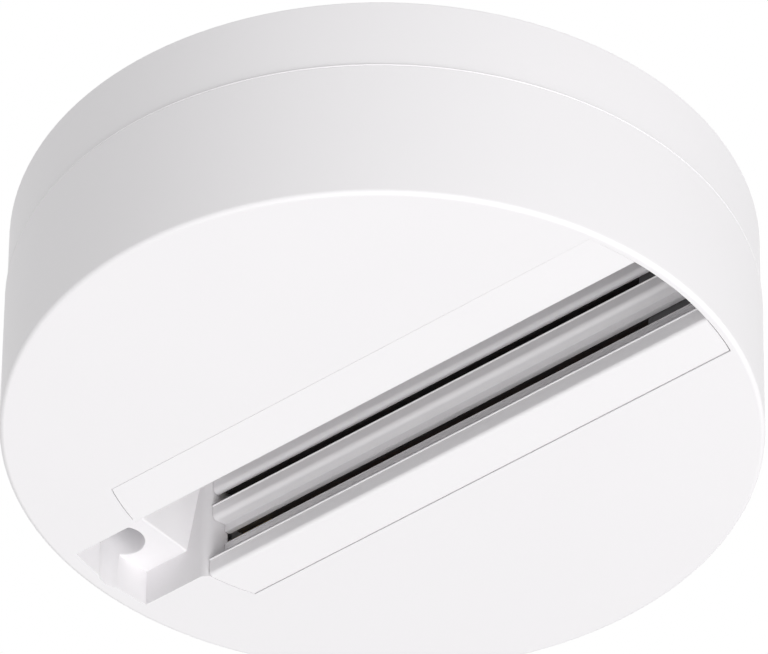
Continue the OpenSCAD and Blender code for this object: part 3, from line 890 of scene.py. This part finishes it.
def cross_cutter(half_width, arm, top, bottom):
    """Tapered cross that cuts a screw's recess."""
    shape = bmesh.new()
    outline = [
        (half_width, -arm), (half_width, -half_width), (arm, -half_width), (arm, half_width),
        (half_width, half_width), (half_width, arm), (-half_width, arm), (-half_width, half_width),
        (-arm, half_width), (-arm, -half_width), (-half_width, -half_width), (-half_width, -arm),
    ]
    wide = [shape.verts.new((x, y, top)) for x, y in outline]
    narrow = [shape.verts.new((x * RECESS_TAPER, y * RECESS_TAPER, bottom)) for x, y in outline]
    shape.faces.new(wide[::-1])
    shape.faces.new(narrow)
    for i in range(len(outline)):
        k = (i + 1) % len(outline)
        shape.faces.new([wide[i], wide[k], narrow[k], narrow[i]])
    bmesh.ops.recalc_face_normals(shape, faces=shape.faces[:])
    mesh = bpy.data.meshes.new("recess_cutter")
    shape.to_mesh(mesh)
    shape.free()
    return mesh


def cut_recess(head, cutter):
    """The head's mesh with the cutter taken out of it."""
    body = bpy.data.objects.new("screw_head", head)
    tool = bpy.data.objects.new("recess_tool", cutter)
    bpy.context.scene.collection.objects.link(tool)
    cut = body.modifiers.new("Recess", "BOOLEAN")
    cut.object = tool
    cut.operation = "DIFFERENCE"
    cut.solver = "EXACT"
    made = finished(body)
    bpy.data.objects.remove(tool)
    bpy.data.meshes.remove(cutter)
    return made


def screw_mesh(thread_r, length, head_r, head_h):
    """A pan head screw with a cross recess, which points up from the underside of its head."""
    fasteners = bpy.context.scene.canopy_fasteners
    dome = bmesh.new()
    turns = steps_between(DOME_START, math.pi / 2, DOME_STEP)
    curve = [(math.sin(t) ** DOME_REACH, math.cos(t) ** DOME_FALL) for t in turns]
    radii = {-head_h * fall: head_r * reach for reach, fall in curve}
    heights = sorted(radii)
    turned(dome, lambda a, z: radii[z], heights, HEAD_SIDES)
    bmesh.ops.recalc_face_normals(dome, faces=dome.faces[:])
    head = bpy.data.meshes.new("screw_head")
    dome.to_mesh(head)
    dome.free()
    arm = head_r * fasteners.recess_share
    over, floor = -head_h * RECESS_OVER, -head_h * RECESS_FLOOR
    head = cut_recess(head, cross_cutter(arm * RECESS_ARM, arm, over, floor))
    shank = bmesh.new()
    shank.from_mesh(head)
    bpy.data.meshes.remove(head)
    pitch, depth = fasteners.thread_pitch, fasteners.thread_depth

    def thread(angle, z):
        runout = min(1.0, max(0.0, (z - THREAD_START) / THREAD_RUNOUT))
        tip = max(0.0, z - (length - TIP_LENGTH))
        groove = depth * runout * saw(z / pitch - angle / (2 * math.pi))
        return thread_r - groove - TIP_TAPER * tip

    turned(shank, thread, steps_between(0.0, length, pitch / STEPS_PER_PITCH), SHANK_SIDES)
    mesh = bpy.data.meshes.new("screw")
    shank.to_mesh(mesh)
    shank.free()
    return mesh


def screw_facts(points, axis):
    """Place, direction and sizes of a CAD screw, read from its solid."""
    low, high = points_box(points)
    middle = (low + high) / 2
    across = [k for k in range(3) if k != axis]

    def radius(p):
        return math.hypot(*[p[k] - middle[k] for k in across])

    head_r = max(radius(p) for p in points)
    rim = [p[axis] for p in points if radius(p) > head_r - HEAD_NEAR]
    towards_high = abs(min(rim) - low[axis]) < abs(high[axis] - max(rim))
    under, tip = (max(rim), high[axis]) if towards_high else (min(rim), low[axis])
    top = low[axis] if towards_high else high[axis]

    def on_shank(p):
        beyond = p[axis] - under
        return abs(beyond) > HEAD_NEAR and beyond * (tip - under) > 0

    thread_r = max(radius(p) for p in points if on_shank(p))
    seat = middle.copy()
    seat[axis] = under
    way = Vector([0, 0, 0])
    way[axis] = 1 if towards_high else -1
    return seat, way, thread_r, abs(tip - under), head_r, abs(top - under)


def screws(node, axis):
    """Detailed screws in place of a CAD node of plain ones."""
    whole = bmesh.new()
    for number, points in enumerate(solids_of(node)):
        seat, way, thread_r, length, head_r, head_h = screw_facts(points, axis)
        mesh = screw_mesh(thread_r, length, head_r, head_h)
        spin = Quaternion((0, 0, 1), FIRST_TURN + NEXT_TURN * number)
        turn = way.to_track_quat("Z", "X") @ spin
        mesh.transform(Matrix.Translation(seat) @ turn.to_matrix().to_4x4())
        whole.from_mesh(mesh)
        bpy.data.meshes.remove(mesh)
    made = bpy.data.meshes.new(node + "_detailed")
    whole.to_mesh(made)
    whole.free()
    return show(node + "_piece", made, zinc_plate(), [node])


def inserts(node, bore_r):
    """Knurled brass inserts in place of a CAD node of plain tubes."""
    fasteners = bpy.context.scene.canopy_fasteners
    whole = bmesh.new()
    for points in solids_of(node):
        low, high = points_box(points)
        middle = (low + high) / 2
        outer_r = (high.x - low.x) / 2
        height = high.z - low.z

        def knurl(angle, z):
            waist = 1.0 if abs(z - height / 2) > height * WAIST_SHARE else WAIST_DEPTH
            ridge = saw(fasteners.knurl_count * angle / (2 * math.pi) + z / height)
            return outer_r - fasteners.knurl_depth * ridge * waist

        def bore(angle, z):
            phase = z / fasteners.thread_pitch - angle / (2 * math.pi)
            return bore_r + INSERT_THREAD * saw(phase)

        part = bmesh.new()
        sides = POINTS_PER_RIDGE * fasteners.knurl_count
        turned(part, knurl, steps_between(0.0, height, INSERT_STEP), sides, bore)
        bmesh.ops.translate(part, vec=(middle.x, middle.y, low.z), verts=part.verts[:])
        mesh = bpy.data.meshes.new("insert")
        part.to_mesh(mesh)
        part.free()
        whole.from_mesh(mesh)
        bpy.data.meshes.remove(mesh)
    made = bpy.data.meshes.new(node + "_knurled")
    whole.to_mesh(made)
    whole.free()
    return show(node + "_piece", made, turned_brass(), [node])


# Operators


class CanopyOperator:
    """What the canopy's operators share."""

    bl_options = {"REGISTER"}


class CANOPY_OT_drum(CanopyOperator, bpy.types.Operator):
    """Make the moulded cover and ceiling base"""

    bl_idname = "canopy.drum"
    bl_label = "Drum"

    def execute(self, context):
        radius = context.scene.canopy_edges.drum
        moulding = white_moulding()
        rounded("cover", radius, moulding, reshape=even_wall, share_at=drum_share)
        rounded("ceiling_base", radius, moulding, share_at=drum_share)
        return {"FINISHED"}


class CANOPY_OT_track(CanopyOperator, bpy.types.Operator):
    """Make the painted track section"""

    bl_idname = "canopy.track"
    bl_label = "Track"

    def execute(self, context):
        rounded(
            "track_profile",
            context.scene.canopy_edges.track,
            track_paint(),
            reshape=raise_edges,
            share_at=track_share,
        )
        return {"FINISHED"}


class CANOPY_OT_insulation(CanopyOperator, bpy.types.Operator):
    """Make the insulators, conductors and end plugs"""

    bl_idname = "canopy.insulation"
    bl_label = "Insulation"

    def execute(self, context):
        edges = context.scene.canopy_edges
        for level in ("upper", "lower"):
            rounded(level + "_end_plugs", edges.insulation, plug_moulding())
            for side in ("near", "far"):
                insulator = f"{level}_{side}_insulator"
                conductor = f"{level}_{side}_conductor"
                rounded(insulator, edges.insulation, black_insulation())
                rounded(conductor, edges.metal, conductor_copper())
        return {"FINISHED"}


class CANOPY_OT_feed(CanopyOperator, bpy.types.Operator):
    """Make the feed block and its contacts"""

    bl_idname = "canopy.feed"
    bl_label = "Feed"

    def execute(self, context):
        edges = context.scene.canopy_edges
        rounded("feed_block", edges.drum, terminal_moulding())
        for level in ("upper", "lower"):
            for side in ("near", "far"):
                rounded(f"{level}_{side}_contact", edges.metal, turned_brass())
        return {"FINISHED"}


class CANOPY_OT_fasteners(CanopyOperator, bpy.types.Operator):
    """Make the screws, inserts and earth terminal"""

    bl_idname = "canopy.fasteners"
    bl_label = "Fasteners"

    def execute(self, context):
        edges = context.scene.canopy_edges
        screws("terminal_screws", ACROSS)
        for node in ("feed_block_screws", "track_screws", "cover_screw", "earth_screw"):
            screws(node, UP)
        for node in ("track_inserts", "cover_insert"):
            inserts(node, INSERT_BORE)
        rounded("earth_clamp", edges.metal, turned_brass())
        rounded("earth_nut", edges.metal, zinc_plate())
        return {"FINISHED"}


class CANOPY_OT_grommet(CanopyOperator, bpy.types.Operator):
    """Make the cable grommet"""

    bl_idname = "canopy.grommet"
    bl_label = "Grommet"

    def execute(self, context):
        radius = context.scene.canopy_edges.rubber
        rounded("cable_grommet", radius, grommet_rubber(), steps=3)
        return {"FINISHED"}


class CANOPY_OT_stage(CanopyOperator, bpy.types.Operator):
    """Make the floor, the light and the camera"""

    bl_idname = "canopy.stage"
    bl_label = "Stage"

    def execute(self, context):
        context.scene.view_settings.view_transform = "Standard"
        stage = context.scene.canopy_stage
        pale_floor(stage)
        white_world(context.scene, stage)
        soft_lamp("key_lamp", stage, KEY_SIDE, stage.key_power)
        soft_lamp("low_lamp", stage, LOW_SIDE, stage.low_power)
        photo_camera(context.scene, stage)
        return {"FINISHED"}


def camera_axes(stage):
    """Unit vectors of the photo's view: right, towards the camera along the ground, and back."""
    a, e = stage.azimuth, stage.elevation
    right = Vector((math.cos(a), math.sin(a), 0))
    front = Vector((math.sin(a), -math.cos(a), 0))
    back = front * math.cos(e) + Vector((0, 0, math.sin(e)))
    return right, front, back


def photo_camera(scene, stage):
    """The camera, below the canopy and to its right."""
    right, _, back = camera_axes(stage)
    up = back.cross(right)
    aim = -back + (right * stage.aim_right + up * stage.aim_up) / stage.focal_pixels
    lens = bpy.data.cameras.new("photo_camera")
    lens.sensor_width = SENSOR_WIDTH
    lens.lens = SENSOR_WIDTH * stage.focal_pixels / PHOTO_WIDTH
    lens.clip_start, lens.clip_end = CLIP_NEAR, CLIP_FAR
    camera = bpy.data.objects.new("photo_camera", lens)
    camera.location = back * stage.distance
    camera.rotation_mode = "QUATERNION"
    roll = Quaternion((0, 0, 1), stage.roll)
    camera.rotation_quaternion = aim.to_track_quat("-Z", "Y") @ roll
    scene.collection.objects.link(camera)
    scene.camera = camera


def soft_lamp(name, stage, side, power):
    """A large soft lamp on the side given as right, front and up in the photo's view."""
    right, front, _ = camera_axes(stage)
    towards = (right * side[0] + front * side[1] + Vector((0, 0, side[2]))).normalized()
    lamp = bpy.data.lights.new(name, "AREA")
    lamp.shape = "DISK"
    lamp.size = LAMP_SIZE
    lamp.energy = power
    holder = bpy.data.objects.new(name, lamp)
    holder.location = towards * LAMP_DISTANCE
    holder.rotation_mode = "QUATERNION"
    holder.rotation_quaternion = (-towards).to_track_quat("-Z", "Y")
    bpy.context.scene.collection.objects.link(holder)


def seen_or_mirrored(tree):
    """1 where a ray comes from the camera, a reflection or a transmission."""
    path = place(tree, "ShaderNodeLightPath")
    first = place(tree, "ShaderNodeMath", operation="MAXIMUM")
    tree.links.new(path.outputs["Is Camera Ray"], first.inputs[0])
    tree.links.new(path.outputs["Is Glossy Ray"], first.inputs[1])
    both = place(tree, "ShaderNodeMath", operation="MAXIMUM")
    tree.links.new(first.outputs[0], both.inputs[0])
    tree.links.new(path.outputs["Is Transmission Ray"], both.inputs[1])
    return both.outputs[0]


def white_world(scene, stage):
    """Even light all round, and white to the camera."""
    world = bpy.data.worlds.new("Studio")
    world.use_nodes = True
    tree = world.node_tree
    background = tree.nodes["Background"]
    background.inputs["Color"].default_value = (1, 1, 1, 1)
    strength = spread(tree, seen_or_mirrored(tree), stage.ambient, 1.0)
    tree.links.new(strength, background.inputs["Strength"])
    scene.world = world


def pale_floor(stage):
    """A wide pale floor, far enough below to leave the view from below free."""
    shape = bmesh.new()
    bmesh.ops.create_grid(
        shape, x_segments=FLOOR_CELLS, y_segments=FLOOR_CELLS, size=FLOOR_SIZE
    )
    mesh = bpy.data.meshes.new("floor")
    shape.to_mesh(mesh)
    shape.free()
    material = bpy.data.materials.new("Pale floor")
    material.use_nodes = True
    tree = material.node_tree
    shader = tree.nodes["Principled BSDF"]
    shader.inputs["Base Color"].default_value = FLOOR_COLOUR
    shader.inputs["Roughness"].default_value = FLOOR_ROUGHNESS
    shader.inputs["Emission Color"].default_value = (1, 1, 1, 1)
    glow = spread(tree, seen_or_mirrored(tree), 0.0, FLOOR_GLOW)
    tree.links.new(glow, shader.inputs["Emission Strength"])
    mesh.materials.append(material)
    floor = bpy.data.objects.new("floor", mesh)
    floor.location = (0, 0, -stage.floor_depth)
    bpy.context.scene.collection.objects.link(floor)


class CANOPY_PT_sidebar(bpy.types.Panel):
    """Settings and pieces of the canopy"""

    bl_idname = "CANOPY_PT_sidebar"
    bl_label = "Track canopy"
    bl_space_type = "VIEW_3D"
    bl_region_type = "UI"
    bl_category = "Track canopy"

    def draw(self, context):
        for operator in PIECES:
            self.layout.operator(operator.bl_idname)
        for name in SETTINGS:
            group = getattr(context.scene, name)
            column = self.layout.box().column()
            for prop in group.bl_rna.properties:
                if prop.identifier not in {"rna_type", "name"}:
                    column.prop(group, prop.identifier)


SETTINGS = {
    "canopy_finishes": CanopyFinishes,
    "canopy_edges": CanopyEdges,
    "canopy_fasteners": CanopyFasteners,
    "canopy_stage": CanopyStage,
}
PIECES = (
    CANOPY_OT_drum,
    CANOPY_OT_track,
    CANOPY_OT_insulation,
    CANOPY_OT_feed,
    CANOPY_OT_fasteners,
    CANOPY_OT_grommet,
    CANOPY_OT_stage,
)


def register():
    """Registers the settings, operators and panel."""
    for name, group in SETTINGS.items():
        bpy.utils.register_class(group)
        setattr(bpy.types.Scene, name, PointerProperty(type=group))
    for piece in (*PIECES, CANOPY_PT_sidebar):
        bpy.utils.register_class(piece)


def unregister():
    """Takes the settings, operators and panel out again."""
    for piece in (CANOPY_PT_sidebar, *reversed(PIECES)):
        bpy.utils.unregister_class(piece)
    for name, group in SETTINGS.items():
        delattr(bpy.types.Scene, name)
        bpy.utils.unregister_class(group)


def main():
    register()
    bpy.ops.canopy.drum()
    bpy.ops.canopy.track()
    bpy.ops.canopy.insulation()
    bpy.ops.canopy.feed()
    bpy.ops.canopy.fasteners()
    bpy.ops.canopy.grommet()
    bpy.ops.canopy.stage()


if __name__ == "__main__":
    main()
